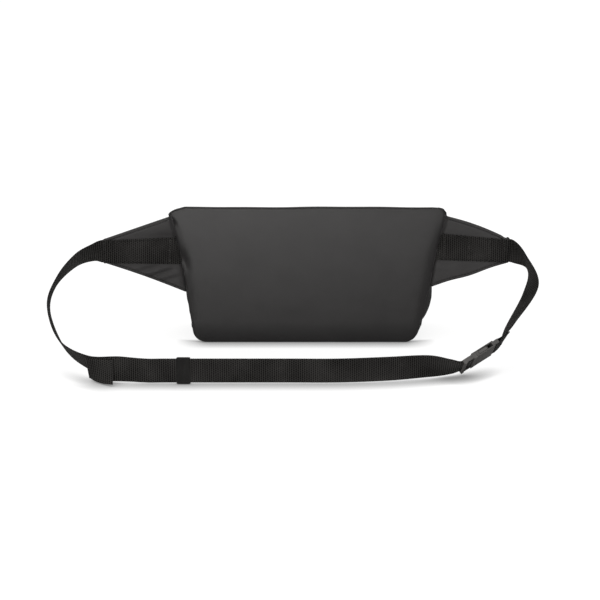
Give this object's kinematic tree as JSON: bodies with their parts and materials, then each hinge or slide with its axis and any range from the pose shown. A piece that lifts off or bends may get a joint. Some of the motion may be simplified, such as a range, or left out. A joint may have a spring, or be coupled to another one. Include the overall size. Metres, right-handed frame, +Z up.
{
  "type": "waist-worn throw rope bag",
  "caption": "Zipped waist pouch with a flaked throw rope inside, on a webbing belt with a keeper and a side-release buckle.",
  "frame": {"origin": "middle of the flat base on the ground", "axes": "+Z up, +X along the width of the pouch, -Y towards the wearer and the belt's front run"},
  "size_m": [0.5117, 0.2075, 0.15],
  "materials": {
    "shell_fabric": "smooth satin coated nylon",
    "wing_fabric": "fine matt woven nylon",
    "webbing": "ribbed woven webbing",
    "elastic": "smooth woven elastic",
    "lining": "light lining cloth",
    "foam": "closed-cell foam",
    "zip_tape": "woven zip tape",
    "zip_teeth": "nylon coil",
    "zip_metal": "black lacquer",
    "buckle_plastic": "fine-textured moulded acetal",
    "eyelet_metal": "black lacquered brass",
    "rope_cord": "braided floating line",
    "sleeve_plastic": "heat-shrunk sleeve"
  },
  "bodies": {
    "root": {"back_panel": "shell_fabric", "back_foam": "foam", "back_lining": "lining", "base_panel": "shell_fabric", "base_foam": "foam", "front_panel": "shell_fabric", "gusset_left": "shell_fabric", "gusset_right": "shell_fabric", "top_strip": "shell_fabric", "zip_end_tabs": "shell_fabric", "zip_tape_rear": "zip_tape", "zip_tape_front": "zip_tape", "zip_chain_rear": "zip_teeth", "zip_chain_front": "zip_teeth", "zip_stops": "zip_metal", "seam_binding_left": "lining", "seam_binding_right": "lining", "wing_left": "wing_fabric", "wing_right": "wing_fabric", "wing_webbing_left": "webbing", "wing_webbing_right": "webbing", "strap_left": "webbing", "strap_right": "webbing", "buckle_male": "buckle_plastic", "rope": "rope_cord", "rope_anchor_loop": "webbing", "rope_end_eye": "rope_cord", "rope_end_sleeve": "sleeve_plastic", "drain_eyelets": "eyelet_metal", "drain_washers": "eyelet_metal"},
    "keeper": {"strap_keeper": "elastic"},
    "zip_slider": {"zip_slider": "zip_metal"},
    "zip_pull": {"zip_pull": "zip_metal"},
    "buckle_female": {"buckle_female": "buckle_plastic"},
    "buckle_arm_upper": {"buckle_arm_upper": "buckle_plastic"},
    "buckle_arm_lower": {"buckle_arm_lower": "buckle_plastic"}
  },
  "joints": [
    {"name": "keeper_slide", "type": "slide", "parent": "root", "child": "keeper", "axis": [1, 0, 0], "range_m": [-0.02, 0.09]},
    {"name": "zip_slide", "type": "slide", "parent": "root", "child": "zip_slider", "axis": [-1, 0, 0], "range_m": [0, 0.216]},
    {"name": "zip_pull_swing", "type": "hinge", "parent": "zip_slider", "child": "zip_pull", "pos_m": [0.108, -0.01866, 0.14012], "axis": [0, 0.6428, -0.766], "range_deg": [0, 150]},
    {"name": "buckle_release", "type": "slide", "parent": "root", "child": "buckle_female", "axis": [0.828, 0.3861, 0.4067], "range_m": [0, 0.026], "deforming": ["strap_right", "buckle_arm_upper", "buckle_arm_lower"]},
    {"name": "arm_upper_press", "type": "hinge", "parent": "root", "child": "buckle_arm_upper", "pos_m": [0.16892, -0.15325, 0.02276], "axis": [-0.5578, 0.4924, 0.6681], "range_deg": [0, 16]},
    {"name": "arm_lower_press", "type": "hinge", "parent": "root", "child": "buckle_arm_lower", "pos_m": [0.16794, -0.13999, 0.01216], "axis": [0.5578, -0.4924, -0.6681], "range_deg": [0, 16]}
  ]
}
